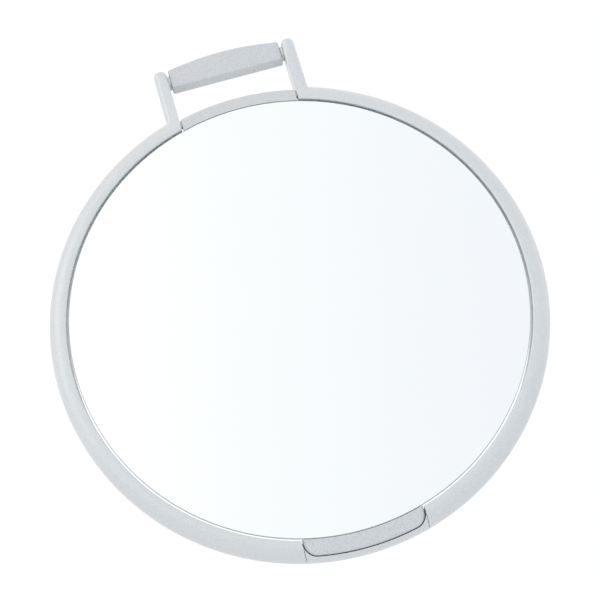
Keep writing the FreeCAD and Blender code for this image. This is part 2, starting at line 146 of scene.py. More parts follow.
# From the cover's edge inwards, in mm: how far each step runs in, and how far it rises or sinks.
COVER_STEPS = [
    (COVER_RIM_ROUND / MM, 0),
    (6, 0), (0.35, -0.35), (0.5, 0), (0.35, 0.35),          # flat rim, then the turned groove
    (16, 0), (0.4, -0.15), (0.9, -0.45), (0.5, -0.1),       # screw land, then the sunken middle
    (70, 0), (0.8, 0.25),                                   # raised disc at the centre
]
PULL_TAB_ROUND = 2.0 * MM

SILVER_DARK, SILVER_LIGHT = (0.645, 0.67, 0.69), (0.735, 0.76, 0.78)
# lighter silver painted along the edges as a highlight
SILVER_EDGE_LIT = (0.80, 0.82, 0.835)
# Each grey runs from its dark tone, painted shade in the grain's hollows, to its light tone on the
# grain's tops.
GREY_DARK, GREY_LIGHT = (0.605, 0.625, 0.645), (0.70, 0.72, 0.735)
SOFT_DARK, SOFT_LIGHT = (0.585, 0.605, 0.63), (0.70, 0.72, 0.745)


# ---------------------------------------------------------------- camera, light, floor

def make_camera():
    azimuth, elevation, roll = radians(-4.1), radians(-18.8), radians(-16.7)
    distance = 1.0
    aim = Vector((2.3 * MM, 0, 5.8 * MM))
    back = Vector((sin(azimuth) * cos(elevation), -cos(azimuth) * cos(elevation), sin(elevation)))
    level = (-back).cross(Vector((0, 0, 1))).normalized()
    upright = level.cross(-back)
    right = level * cos(roll) + upright * sin(roll)
    up = upright * cos(roll) - level * sin(roll)
    data = bpy.data.cameras.new("camera")
    data.sensor_width = 36
    data.lens = 100.5
    data.clip_start = 0.05
    data.clip_end = 50
    camera = bpy.data.objects.new("camera", data)
    bpy.context.scene.collection.objects.link(camera)
    turn = Matrix((right, up, back)).transposed().to_4x4()
    camera.matrix_world = Matrix.Translation(aim + back * distance) @ turn
    bpy.context.scene.camera = camera


def make_area_light(name, place, target, size, power):
    data = bpy.data.lights.new(name, "AREA")
    data.shape = "SQUARE"
    data.size = size
    data.energy = power
    lamp = bpy.data.objects.new(name, data)
    bpy.context.scene.collection.objects.link(lamp)
    aim = Vector(target) - Vector(place)
    lamp.location = place
    lamp.rotation_euler = aim.to_track_quat("-Z", "Y").to_euler()


def make_world():
    """White studio walls; the wall that the mirror faces is white on the left, cooler on the right."""
    world = bpy.data.worlds.new("studio")
    world.use_nodes = True
    bpy.context.scene.world = world
    nodes, links = world.node_tree.nodes, world.node_tree.links
    nodes.clear()
    place = nodes.new("ShaderNodeTexCoord")
    across = nodes.new("ShaderNodeVectorMath")
    across.operation = "DOT_PRODUCT"
    across.inputs[1].default_value = (0.95, 0.08, -0.28)
    stretch = nodes.new("ShaderNodeMapRange")
    stretch.inputs["From Min"].default_value = -0.5
    stretch.inputs["From Max"].default_value = 0.5
    wall = nodes.new("ShaderNodeValToRGB")
    stops = [(0.0, (1.05, 1.05, 1.05)), (0.27, (1.04, 1.04, 1.04)), (0.313, (1.01, 1.015, 1.02)),
             (0.384, (0.963, 0.992, 0.997)), (0.454, (0.928, 0.957, 0.976)),
             (0.525, (0.911, 0.939, 0.966)), (1.0, (0.89, 0.92, 0.95))]
    while len(wall.color_ramp.elements) < len(stops):
        wall.color_ramp.elements.new(0.5)
    for element, (position, colour) in zip(wall.color_ramp.elements, stops):
        element.position = position
        element.color = (*colour, 1)
    split = nodes.new("ShaderNodeSeparateXYZ")
    facing = nodes.new("ShaderNodeMapRange")
    facing.inputs["From Min"].default_value = -0.5
    facing.inputs["From Max"].default_value = 0.1
    mix = nodes.new("ShaderNodeMix")
    mix.data_type = "RGBA"
    mix.inputs["B"].default_value = (1.02, 1.02, 1.02, 1)
    back = nodes.new("ShaderNodeBackground")
    out = nodes.new("ShaderNodeOutputWorld")
    links.new(place.outputs["Generated"], across.inputs[0])
    links.new(across.outputs["Value"], stretch.inputs["Value"])
    links.new(stretch.outputs["Result"], wall.inputs["Fac"])
    links.new(place.outputs["Generated"], split.inputs[0])
    links.new(split.outputs["Y"], facing.inputs["Value"])
    links.new(facing.outputs["Result"], mix.inputs["Factor"])
    links.new(wall.outputs["Color"], mix.inputs["A"])
    links.new(mix.outputs["Result"], back.inputs["Color"])
    links.new(back.outputs["Background"], out.inputs["Surface"])


def make_floor():
    bpy.ops.mesh.primitive_plane_add(size=14, location=(0, 0, -0.75))
    floor = bpy.context.object
    floor.name = "floor"
    material = bpy.data.materials.new("floor_paint")
    material.use_nodes = True
    shader = material.node_tree.nodes["Principled BSDF"]
    shader.inputs["Base Color"].default_value = (0.86, 0.87, 0.88, 1)
    shader.inputs["Roughness"].default_value = 0.8
    floor.data.materials.append(material)


# ---------------------------------------------------------------- modelling helpers

def only(piece):
    bpy.ops.object.select_all(action="DESELECT")
    piece.select_set(True)
    bpy.context.view_layer.objects.active = piece


def settle(name=None):
    """Put the active object's place, turn and scale into its mesh, and name it."""
    piece = bpy.context.object
    only(piece)
    bpy.ops.object.transform_apply(location=True, rotation=True, scale=True)
    if name:
        piece.name = name
        piece.data.name = name
    return piece


def add_box(name, low, high):
    low, high = Vector(low), Vector(high)
    bpy.ops.object.select_all(action="DESELECT")
    bpy.ops.mesh.primitive_cube_add(size=1, location=(low + high) / 2)
    bpy.context.object.scale = high - low
    return settle(name)


def add_disc(name, radius, front, rear, x=0, z=0, sides=48):
    """A round slab that faces -Y, from the depth front to the depth rear."""
    bpy.ops.object.select_all(action="DESELECT")
    bpy.ops.mesh.primitive_cylinder_add(
        vertices=sides, radius=radius, depth=rear - front,
        location=(x, (front + rear) / 2, z), rotation=(pi / 2, 0, 0))
    return settle(name)


def add_cross_rod(name, radius, left, right, y, z, sides=48):
    """A round bar along X."""
    bpy.ops.object.select_all(action="DESELECT")
    bpy.ops.mesh.primitive_cylinder_add(
        vertices=sides, radius=radius, depth=right - left,
        location=((left + right) / 2, y, z), rotation=(0, pi / 2, 0))
    return settle(name)


def edit(piece, kind):
    only(piece)
    bpy.ops.object.mode_set(mode="EDIT")
    bpy.ops.mesh.select_mode(type=kind)
    bpy.ops.mesh.select_all(action="DESELECT")


def choose(piece, kind, test):
    """In edit mode, select only what passes: a vertex by place, an edge by its two ends,
    a face by its middle and normal."""
    bpy.ops.mesh.select_all(action="DESELECT")
    bpy.ops.mesh.select_mode(type=kind)
    mesh = bmesh.from_edit_mesh(piece.data)
    mesh.normal_update()
    items = {"VERT": mesh.verts, "EDGE": mesh.edges, "FACE": mesh.faces}[kind]
    for item in items:
        if kind == "VERT":
            good = test(item.co)
        elif kind == "EDGE":
            good = test(*[vertex.co for vertex in item.verts])
        else:
            good = test(item.calc_center_median(), item.normal)
        if good:
            item.select_set(True)
    mesh.select_flush_mode()
    bmesh.update_edit_mesh(piece.data)


def done():
    bpy.ops.object.mode_set(mode="OBJECT")


def near(a, b):
    return abs(a - b) < TOUCH


def round_edges(piece, radius, segments, test):
    """Round the edges whose two ends pass the test."""
    edit(piece, "EDGE")
    choose(piece, "EDGE", test)
    bpy.ops.mesh.bevel(offset=radius, segments=segments, affect="EDGES", clamp_overlap=False)
    done()


def at_depth(depth):
    """Edges that lie in the plane of one depth."""
    return lambda a, b: near(a.y, depth) and near(b.y, depth)


def clean(piece):
    edit(piece, "VERT")
    bpy.ops.mesh.select_all(action="SELECT")
    bpy.ops.mesh.remove_doubles(threshold=MERGE)
    bpy.ops.mesh.normals_make_consistent(inside=False)
    done()


def combine(piece, tool, operation):
    """Join a tool to a piece, or cut the piece with it, and remove the tool."""
    only(piece)
    modifier = piece.modifiers.new("combine", "BOOLEAN")
    modifier.operation = operation
    modifier.solver = "EXACT"
    modifier.object = tool
    bpy.ops.object.modifier_apply(modifier=modifier.name)
    bpy.data.objects.remove(tool)
    clean(piece)


def cut(piece, *tools):
    for tool in tools:
        combine(piece, tool, "DIFFERENCE")


def fuse(piece, *tools):
    for tool in tools:
        combine(piece, tool, "UNION")


def join(name, pieces):
    bpy.ops.object.select_all(action="DESELECT")
    for piece in pieces:
        piece.select_set(True)
    bpy.context.view_layer.objects.active = pieces[0]
    bpy.ops.object.join()
    return settle(name)


def copies(name, piece, places):
    """The piece, made at x = z = 0, copied to each place and joined as one set."""
    twins = []
    for x, z in places:
        twin = piece.copy()
        twin.data = piece.data.copy()
        twin.location = (x, 0, z)
        bpy.context.scene.collection.objects.link(twin)
        twins.append(twin)
    bpy.data.objects.remove(piece)
    bpy.context.view_layer.update()
    return join(name, twins)


def smooth(piece, angle=30):
    """Close the hairline slits that the cuts leave, and shade the piece smooth."""
    clean(piece)
    edit(piece, "VERT")
    bpy.ops.mesh.select_all(action="SELECT")
    bpy.ops.mesh.fill_holes(sides=3)
    bpy.ops.mesh.select_all(action="SELECT")
    bpy.ops.mesh.dissolve_degenerate(threshold=SLIVER)
    done()
    only(piece)
    bpy.ops.object.shade_smooth_by_angle(angle=radians(angle))
    return piece


def four_ways(radius, angle):
    return [(side * radius * cos(radians(angle)), rise * radius * sin(radians(angle)))
            for side in (1, -1) for rise in (1, -1)]


RING_SCREWS = [place for angle in SCREW_ANGLES for place in four_ways(SCREW_CIRCLE, angle)]
POST_SCREWS = [(side * (POST_INNER + POST_OUTER) / 2, POST_SCREW_HEIGHT) for side in (1, -1)]
FEET = four_ways(SCREW_CIRCLE, FOOT_ANGLE)
COVER_SCREWS = [(COVER_SCREW_CIRCLE * cos(radians(angle)), COVER_SCREW_CIRCLE * sin(radians(angle)))
                for angle in COVER_SCREW_ANGLES]


def arched_block(name, half, radius, foot, front, rear, flat=True, down=False, corner=0):
    """A block whose top follows a circle round the mirror's centre, with upright sides.

    Its lower side is flat at the height foot, or an arc of that radius. With down it hangs
    below the centre instead, and corner rounds the two outer corners.
    """
    inner = foot * 0.97 if flat else foot
    bpy.ops.object.select_all(action="DESELECT")
    bpy.ops.mesh.primitive_plane_add(
        size=1, location=((inner + radius) / 2, (front + rear) / 2, 0))
    bpy.context.object.scale = (radius - inner, rear - front, 1)
    block = settle(name)
    step = 2 * asin(half / radius) / ARCH_STEPS
    spare_steps = ceil((asin(half / inner) - asin(half / radius)) / step) + 1
    spread = (ARCH_STEPS / 2 + spare_steps) * step
    block.rotation_euler = (0, -pi / 2 - spread, 0)
    settle()
    edit(block, "FACE")
    bpy.ops.mesh.select_all(action="SELECT")
    bpy.ops.mesh.spin(steps=ARCH_STEPS + 2 * spare_steps, angle=-2 * spread,
                      center=(0, 0, 0), axis=(0, 1, 0))
    planes = [(Vector((half, 0, 0)), Vector((1, 0, 0))),
              (Vector((-half, 0, 0)), Vector((-1, 0, 0)))]
    if flat:
        planes.append((Vector((0, 0, foot)), Vector((0, 0, -1))))
    for place, normal in planes:
        bpy.ops.mesh.select_all(action="SELECT")
        bpy.ops.mesh.bisect(plane_co=place, plane_no=normal, use_fill=True, clear_outer=True)
    done()
    clean(block)
    if corner:
        centre_x = half - corner
        centre_z = sqrt((radius - corner) ** 2 - centre_x ** 2)
        tangent_x = centre_x * radius / (radius - corner)
        for side in (1, -1):
            waste = add_box("corner_waste", (tangent_x, front - MM, centre_z),
                            (half + OVERRUN, rear + MM, radius + OVERRUN))
            cut(waste, add_disc("corner_round", corner, front - 2 * MM, rear + 2 * MM,
                                centre_x, centre_z, sides=96))
            if side < 0:
                waste.scale = (-1, 1, 1)
                only(waste)
                settle()
                clean(waste)
            cut(block, waste)
    if down:
        block.scale = (1, 1, -1)
        only(block)
        settle()
    edit(block, "FACE")
    bpy.ops.mesh.select_all(action="SELECT")
    bpy.ops.mesh.dissolve_limited(angle_limit=radians(0.1))
    done()
    clean(block)
    return block


# ---------------------------------------------------------------- frame

def open_ring(name, front, rear, rounds, steps=336):
    """A ring with a rounded section, open at the top between the posts.

    rounds maps a corner of the section, (is outer, is front), to its radius and segments.
    """
    bpy.ops.object.select_all(action="DESELECT")
    bpy.ops.mesh.primitive_plane_add(
        size=1, location=((LIP_RADIUS + RING_RADIUS) / 2, (front + rear) / 2, 0))
    bpy.context.object.scale = (RING_RADIUS - LIP_RADIUS, rear - front, 1)
    ring = settle(name)
    edit(ring, "VERT")
    for (outer, fore), (radius, segments) in rounds.items():
        corner = (RING_RADIUS if outer else LIP_RADIUS, front if fore else rear)
        choose(ring, "VERT", lambda co: near(co.x, corner[0]) and near(co.y, corner[1]))
        bpy.ops.mesh.bevel(offset=radius, offset_type="OFFSET", segments=segments,
                           affect="VERTICES", clamp_overlap=False)
    done()
    start = radians(12)
    ring.rotation_euler = (0, -(pi / 2 - start), 0)
    settle()
    edit(ring, "FACE")
    bpy.ops.mesh.select_all(action="SELECT")
    bpy.ops.mesh.spin(steps=steps, angle=2 * start - 2 * pi, center=(0, 0, 0), axis=(0, 1, 0))
    for side in (1, -1):
        choose(ring, "FACE", lambda middle, normal: middle.z > 0.1 and middle.x * side > 0)
        bpy.ops.mesh.bisect(plane_co=(side * (POST_INNER + HAIRLINE), 0, 0),
                            plane_no=(side, 0, 0), use_fill=True, clear_inner=True,
                            threshold=0.001 * MM)
    done()
    clean(ring)
    return ring


def post(side, face, split):
    """One post from its visible face to the split: rounded tip, and a flare at its root.

    The skirt is the foot of the flare, and the shoulder is its height on the ring.
    """
    root = sqrt((LIP_RADIUS + POST_ROOT_INSET) ** 2 - POST_INNER ** 2)
    skirt = POST_OUTER + POST_FLARE + OVERLAP
    shoulder = sqrt((RING_RADIUS - FLARE_DEPTH) ** 2 - skirt ** 2)
    bpy.ops.object.select_all(action="DESELECT")
    bpy.ops.mesh.primitive_plane_add(
        size=1, location=((POST_INNER + POST_OUTER) / 2, face, (root + POST_TOP) / 2),
        rotation=(pi / 2, 0, 0))
    bpy.context.object.scale = (POST_OUTER - POST_INNER, POST_TOP - root, 1)
    piece = settle("post")
    edit(piece, "FACE")
    bpy.ops.mesh.select_all(action="SELECT")
    bpy.ops.mesh.bisect(plane_co=(0, 0, shoulder), plane_no=(0, 0, 1))
    choose(piece, "EDGE", lambda a, b: (near(a.x, POST_OUTER) and near(b.x, POST_OUTER)
                                        and max(a.z, b.z) < shoulder + TOUCH))
    bpy.ops.mesh.extrude_region_move(
        TRANSFORM_OT_translate={"value": (skirt - POST_OUTER, 0, 0)})
    choose(piece, "VERT", lambda co: near(co.x, POST_OUTER) and near(co.z, shoulder))
    bpy.ops.mesh.bevel(offset=POST_FLARE, segments=8, affect="VERTICES", clamp_overlap=False)
    choose(piece, "VERT", lambda co: near(co.z, POST_TOP))
    bpy.ops.mesh.bevel(offset=POST_TIP_ROUND, segments=6, affect="VERTICES",
                       clamp_overlap=False)
    bpy.ops.mesh.select_all(action="SELECT")
    bpy.ops.mesh.dissolve_limited(angle_limit=radians(0.5))
    bpy.ops.mesh.select_all(action="SELECT")
    bpy.ops.mesh.extrude_region_move(TRANSFORM_OT_translate={"value": (0, split - face, 0)})
    done()
    round_edges(piece, POST_EDGE_ROUND, 5, lambda a, b: (
        near(a.y, face) and near(b.y, face)
        and (min(a.z, b.z) > shoulder - SLACK or min(a.x, b.x) > skirt - TOUCH)))
    if side < 0:
        piece.scale = (-1, 1, 1)
        only(piece)
        settle()
    clean(piece)
    return piece


def frame_front():
    """Front shell, with the notch for the pull tab and a seam across the rim at each side of it."""
    shell = open_ring("frame_front_shell", LIP_FRONT, SPLIT, {
        (True, True): (FRONT_ROUND, 14), (False, True): (LIP_ROUND, 5),
        (True, False): (SPLIT_BEVEL, 2), (False, False): (SPLIT_BEVEL, 1)})
    fuse(shell, post(1, POST_FRONT, SPLIT), post(-1, POST_FRONT, SPLIT))
    notch_half = tab_high.x + TAB_GAP
    notch_radius = -tab_low.z + TAB_GAP
    cut(shell, arched_block("notch", notch_half, notch_radius, LIP_RADIUS - NOTCH_REACH,
                            LIP_FRONT - OVERRUN, SPLIT + OVERRUN, flat=False, down=True,
                            corner=TAB_CORNER + TAB_GAP))
    for side in (1, -1):
        middle = side * (notch_half - SEAM / 2)
        cut(shell, add_box("seam", (middle - SEAM / 2, LIP_FRONT - OVERRUN, -RING_RADIUS),
                           (middle + SEAM / 2, SPLIT + OVERRUN, -LIP_RADIUS)))
    return smooth(shell)


def frame_rear():
    """Rear shell, with a well for each screw and a seat for each foot."""
    shell = open_ring("frame_rear_shell", SPLIT, RING_REAR, {
        (True, False): (REAR_ROUND, 12), (False, False): (INNER_ROUND, 5),
        (True, True): (SPLIT_BEVEL, 2), (False, True): (SPLIT_BEVEL, 1)})
    fuse(shell, post(1, POST_REAR, SPLIT), post(-1, POST_REAR, SPLIT))
    for x, z in RING_SCREWS + POST_SCREWS:
        cut(shell, add_disc("well", HEAD_RADIUS + SEAT_CLEARANCE, SCREW_SEAT,
                            RING_REAR + OVERRUN, x, z))
    for x, z in FEET:
        cut(shell, add_disc("foot_seat", FOOT_RADIUS + FOOT_PLAY, foot_low.y,
                            RING_REAR + OVERRUN, x, z))
    magnet_low, magnet_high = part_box("catch_magnet")
    cut(shell, add_disc("magnet_seat", magnet_high.x + HAIRLINE, SPLIT - OVERRUN, magnet_high.y,
                        0, (magnet_low.z + magnet_high.z) / 2))
    return smooth(shell)


def grip_sleeve():
    """Soft bar round the core: arched on top, with pillowed ends and long edges."""
    low, high = sleeve_low, sleeve_high
    sleeve = add_box("grip_sleeve_pad", low, high)
    loops = [(Vector((x, 0, 0)), Vector((1, 0, 0))) for x in
             [side * (high.x - inset) for side in (1, -1)
              for inset in (SLEEVE_END_ROUND, high.x * 0.5, high.x * 0.75)] + [0]]
    loops += [(Vector((0, y, 0)), Vector((0, 1, 0)))
              for y in (low.y + SLEEVE_FACE_ROUND, high.y - SLEEVE_FACE_ROUND)]
    loops += [(Vector((0, 0, z)), Vector((0, 0, 1)))
              for z in (low.z + SLEEVE_EDGE_ROUND, high.z - SLEEVE_EDGE_ROUND)]
    edit(sleeve, "FACE")
    for place, normal in loops:
        bpy.ops.mesh.select_all(action="SELECT")
        bpy.ops.mesh.bisect(plane_co=place, plane_no=normal)
    done()
    for vertex in sleeve.data.vertices:
        rise = (vertex.co.z - low.z) / (high.z - low.z)
        vertex.co.z -= rise * (high.z - sqrt(high.z ** 2 - vertex.co.x ** 2))
    only(sleeve)
    skin = sleeve.modifiers.new("skin", "SUBSURF")
    skin.levels = skin.render_levels = 3
    bpy.ops.object.modifier_apply(modifier=skin.name)
    cut(sleeve, add_cross_rod("bore", rod_high.z - ROD_CENTRE.z + SEAT_CLEARANCE, -2 * high.x,
                              2 * high.x, ROD_CENTRE.y, ROD_CENTRE.z))
    return smooth(sleeve, 40)


def pan_head_screw(seat, head_height, tip):
    """A pan-head screw from the rear, with a crowned head and a cross recess."""
    screw = add_disc("screw", HEAD_RADIUS, seat, seat + head_height, sides=32)
    round_edges(screw, head_height * 0.45, 4, at_depth(seat + head_height))
    slot_half, slot_width, slot_floor = 1.3 * MM, 0.28 * MM, seat + head_height * 0.4
    for wide, tall in ((slot_half, slot_width), (slot_width, slot_half)):
        cut(screw, add_box("slot", (-wide, slot_floor, -tall),
                           (wide, seat + 2 * head_height, tall)))
    fuse(screw, add_disc("shank", SHANK_RADIUS, tip, seat + OVERLAP, sides=20))
    clean(screw)
    return screw


def frame_screws():
    low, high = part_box("frame_screws")
    screw = pan_head_screw(SCREW_SEAT, high.y - SCREW_SEAT, low.y)
    return smooth(copies("frame_screw_set", screw, RING_SCREWS + POST_SCREWS))


def cover_screws():
    low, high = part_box("cover_screws")
    screw = pan_head_screw(high.y - COVER_HEAD_HEIGHT, COVER_HEAD_HEIGHT, low.y)
    return smooth(copies("cover_screw_set", screw, COVER_SCREWS))


def foot_pads():
    """Rubber feet with a rounded rim and a shallow dimple."""
    foot = add_disc("foot", FOOT_RADIUS, foot_low.y, foot_high.y)
    round_edges(foot, FOOT_RIM_ROUND, 5, at_depth(foot_high.y))
    edit(foot, "FACE")
    choose(foot, "FACE", lambda middle, normal: normal.y > FACING)
    bpy.ops.mesh.inset(thickness=DIMPLE_RIM, depth=0)
    bpy.ops.mesh.inset(thickness=DIMPLE_SLOPE, depth=-DIMPLE_DEPTH)
    done()
    return smooth(copies("foot_pad_set", foot, FEET))


# ---------------------------------------------------------------- mirror disc

def mirror_glass():
    """Float glass with a ground edge, silvered and painted on its back."""
    glass = add_disc("mirror_glass_plate", GLASS_RADIUS, glass_low.y, glass_high.y, sides=288)
    for depth in (glass_low.y, glass_high.y):
        round_edges(glass, GROUND_EDGE, 1, at_depth(depth))
    return smooth(glass, 20)


def mirror_carrier():
    """Dish behind the glass, with the hinge tab above and the tongue below."""
    floor_front = glass_high.y + TAPE_THICKNESS
    floor_rear = floor_front + FLOOR_THICKNESS
    dish = add_disc("mirror_carrier_dish", CARRIER_RADIUS, floor_front, carrier_high.y,
                    sides=288)
    edit(dish, "FACE")
    choose(dish, "FACE", lambda middle, normal: normal.y > FACING)
    bpy.ops.mesh.inset(thickness=DISH_WALL, depth=0)
    bpy.ops.mesh.extrude_region_move(
        TRANSFORM_OT_translate={"value": (0, floor_rear - carrier_high.y, 0)})
    done()
    round_edges(dish, DISH_EDGE_ROUND, 3, lambda a, b: (
        near(a.y, floor_front) and near(b.y, floor_front)))
    clean(dish)

    tab = arched_block("hinge_tab", HINGE_TAB_HALF, carrier_high.z, HINGE_TAB_FOOT,
                       carrier_low.y, HINGE_TAB_REAR)
    round_edges(tab, HINGE_TAB_ROUND, 6, lambda a, b: (
        near(a.y, carrier_low.y) and near(b.y, carrier_low.y)
        and min(a.z, b.z) > HINGE_TAB_FOOT + MM))
    round_edges(tab, HINGE_TAB_REAR_ROUND, 4, lambda a, b: (
        near(a.y, HINGE_TAB_REAR) and near(b.y, HINGE_TAB_REAR)))
    clean(tab)
    cut(tab, add_disc("glass_seat", GLASS_RADIUS + SEAT_GAP, -OVERRUN, floor_front, sides=288))
    for left in (-HINGE_TAB_HALF - MM, HINGE_TAB_HALF - BUSH_LENGTH):
        cut(tab, add_cross_rod("bush_hole", BUSH_RADIUS, left, left + BUSH_LENGTH + MM,
                               PIN_CENTRE.y, PIN_CENTRE.z))
    tongue = arched_block("tongue", TONGUE_HALF, -carrier_low.z, CARRIER_RADIUS - NOTCH_REACH,
                          floor_rear, TONGUE_REAR, flat=False, down=True, corner=TAB_CORNER)
    plate_low, plate_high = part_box("catch_plate")
    cut(tongue, add_disc("plate_seat", plate_high.x + HAIRLINE, plate_low.y, TONGUE_REAR + MM,
                         0, (plate_low.z + plate_high.z) / 2))
    fuse(dish, tab, tongue)
    for x, z in COVER_SCREWS:
        fuse(dish, add_disc("boss", BOSS_RADIUS, floor_rear - OVERLAP, carrier_high.y, x, z))
        cut(dish, add_disc("boss_hole", SHANK_RADIUS + HAIRLINE, floor_rear + SEAT_GAP,
                           carrier_high.y + MM, x, z))
    return smooth(dish)


def carrier_cover():
    """Rear cover: a flat rim that holds the screws, a turned groove and a sunken middle."""
    cover = add_disc("carrier_cover_plate", cover_high.x, cover_low.y, cover_high.y, sides=288)
    edit(cover, "FACE")
    choose(cover, "FACE", lambda middle, normal: normal.y > FACING)
    for inward, outward in COVER_STEPS:
        bpy.ops.mesh.inset(thickness=inward * MM, depth=outward * MM)
    done()
    rim = cover_high.x
    round_edges(cover, COVER_RIM_ROUND * 0.8, 5, lambda a, b: (
        near(a.y, cover_high.y) and near(b.y, cover_high.y)
        and near(a.xz.length, rim) and near(b.xz.length, rim)))
    clean(cover)
    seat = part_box("cover_screws")[1].y - COVER_HEAD_HEIGHT
    for x, z in COVER_SCREWS:
        cut(cover, add_disc("well", HEAD_RADIUS + SEAT_CLEARANCE, seat, cover_high.y + MM, x, z))
        cut(cover, add_disc("hole", SHANK_RADIUS + SEAT_CLEARANCE, cover_low.y - MM,
                            seat + OVERLAP, x, z))
    return smooth(cover)


def pull_tab():
    """Soft cap on the tongue: it fills the notch in the ring."""
    radius = -tab_low.z
    tab = arched_block("pull_tab_cap", tab_high.x, radius, GLASS_RADIUS + SEAT_GAP,
                       tab_low.y, tab_high.y, flat=False, down=True, corner=TAB_CORNER)
    cut(tab, arched_block("tongue_slot", TONGUE_HALF + HAIRLINE, -carrier_low.z + HAIRLINE,
                          CARRIER_RADIUS - NOTCH_REACH,
                          glass_high.y + TAPE_THICKNESS + FLOOR_THICKNESS, tab_high.y + MM,
                          flat=False, down=True, corner=TAB_CORNER))
    clean(tab)
    round_edges(tab, PULL_TAB_ROUND, 6, lambda a, b: (
        near(a.y, tab_low.y) and near(b.y, tab_low.y)
        and max(a.xz.length, b.xz.length) > GLASS_RADIUS + SLACK))
    return smooth(tab, 35)


# ---------------------------------------------------------------- materials

def new_group(name, inputs, outputs):
    """A shader node group: its tree, with the input and output nodes."""
    tree = bpy.data.node_groups.new(name, "ShaderNodeTree")
    for label, default in inputs:
        socket = tree.interface.new_socket(label, in_out="INPUT", socket_type="NodeSocketFloat")
        socket.default_value = default
    for label in outputs:
        tree.interface.new_socket(label, in_out="OUTPUT", socket_type="NodeSocketFloat")
    return tree, tree.nodes.new("NodeGroupInput"), tree.nodes.new("NodeGroupOutput")


def maths(tree, operation, first, second, clamp=False):
    node = tree.nodes.new("ShaderNodeMath")
    node.operation = operation
    node.use_clamp = clamp
    for socket, value in zip(node.inputs, (first, second)):
        if isinstance(value, (int, float)):
            socket.default_value = value
        else:
            tree.links.new(value, socket)
    return node.outputs["Value"]


def map_range(tree, value, low, high, to_low=0.0, to_high=1.0):
    node = tree.nodes.new("ShaderNodeMapRange")
    tree.links.new(value, node.inputs["Value"])
    node.inputs["From Min"].default_value = low
    node.inputs["From Max"].default_value = high
    node.inputs["To Min"].default_value = to_low
    node.inputs["To Max"].default_value = to_high
    return node.outputs["Result"]


def noise(tree, place, scale, detail=3.0, roughness=0.5):
    node = tree.nodes.new("ShaderNodeTexNoise")
    tree.links.new(place, node.inputs["Vector"])
    if isinstance(scale, (int, float)):
        node.inputs["Scale"].default_value = scale
    else:
        tree.links.new(scale, node.inputs["Scale"])
    node.inputs["Detail"].default_value = detail
    node.inputs["Roughness"].default_value = roughness
    return node.outputs["Fac"]


def object_place(tree):
    return tree.nodes.new("ShaderNodeTexCoord").outputs["Object"]


def make_grain_group():
    """Moulded grain: rounded pebbles with finer roughness between them; Shade is painted shade, darker
    in the hollows between the pebbles.
    """
    tree, given, out = new_group("moulded_grain", [("Scale", 1000.0), ("Fine", 0.4)],
                                 ["Height", "Shade"])
    place = object_place(tree)
    pebbles = tree.nodes.new("ShaderNodeTexVoronoi")
    pebbles.feature = "SMOOTH_F1"
    pebbles.inputs["Smoothness"].default_value = 0.6
    tree.links.new(place, pebbles.inputs["Vector"])
    tree.links.new(given.outputs["Scale"], pebbles.inputs["Scale"])
    fine = noise(tree, place, maths(tree, "MULTIPLY", given.outputs["Scale"], 2.7), 2.0, 0.6)
    dome = map_range(tree, pebbles.outputs["Distance"], 0.1, 0.75, 1.0, 0.0)
    height = maths(tree, "ADD", dome, maths(tree, "MULTIPLY", fine, given.outputs["Fine"]))
    tree.links.new(height, out.inputs["Height"])
    # painted shade: the colour follows the grain's height, darker in the hollows
    tree.links.new(map_range(tree, height, 0.2, 1.3), out.inputs["Shade"])
    return tree


def make_flake_group():
    """Metal flakes in paint: each cell has a brightness of its own."""
    tree, given, out = new_group("paint_flakes", [("Scale", 2500.0)], ["Sparkle", "Height"])
    place = object_place(tree)
    cells = tree.nodes.new("ShaderNodeTexVoronoi")
    tree.links.new(place, cells.inputs["Vector"])
    tree.links.new(given.outputs["Scale"], cells.inputs["Scale"])
    parts = tree.nodes.new("ShaderNodeSeparateColor")
    tree.links.new(cells.outputs["Color"], parts.inputs["Color"])
    tree.links.new(parts.outputs["Red"], out.inputs["Sparkle"])
    orange_peel = noise(tree, place, 380.0, 2.0, 0.5)
    flake = maths(tree, "MULTIPLY", parts.outputs["Green"], 0.35)
    tree.links.new(maths(tree, "ADD", orange_peel, flake), out.inputs["Height"])
    return tree


def make_handling_group():
    """Marks of use: soft smudges from hands, sparse dust and short hairline scratches."""
    tree, given, out = new_group("handling", [("Smudge Scale", 22.0), ("Dust Amount", 0.3)],
                                 ["Smudge", "Dust", "Scratch"])
    place = object_place(tree)
    broad = noise(tree, place, given.outputs["Smudge Scale"], 4.0, 0.55)
    tree.links.new(map_range(tree, broad, 0.42, 0.72), out.inputs["Smudge"])
    specks = tree.nodes.new("ShaderNodeTexVoronoi")
    specks.inputs["Scale"].default_value = 420.0
    tree.links.new(place, specks.inputs["Vector"])
    patches = noise(tree, place, 35.0, 2.0, 0.5)
    rare = map_range(tree, patches, 0.5, 0.75)
    speck = map_range(tree, specks.outputs["Distance"], 0.10, 0.16, 1.0, 0.0)
    dust = maths(tree, "MULTIPLY", maths(tree, "MULTIPLY", speck, rare),
                 given.outputs["Dust Amount"])
    tree.links.new(dust, out.inputs["Dust"])
    stretch = tree.nodes.new("ShaderNodeMapping")
    stretch.inputs["Scale"].default_value = (14.0, 14.0, 260.0)
    stretch.inputs["Rotation"].default_value = (0.3, 0.5, 0.9)
    tree.links.new(place, stretch.inputs["Vector"])
    streaks = noise(tree, stretch.outputs["Vector"], 9.0, 1.0, 0.3)
    tree.links.new(map_range(tree, streaks, 0.70, 0.74), out.inputs["Scratch"])
    return tree


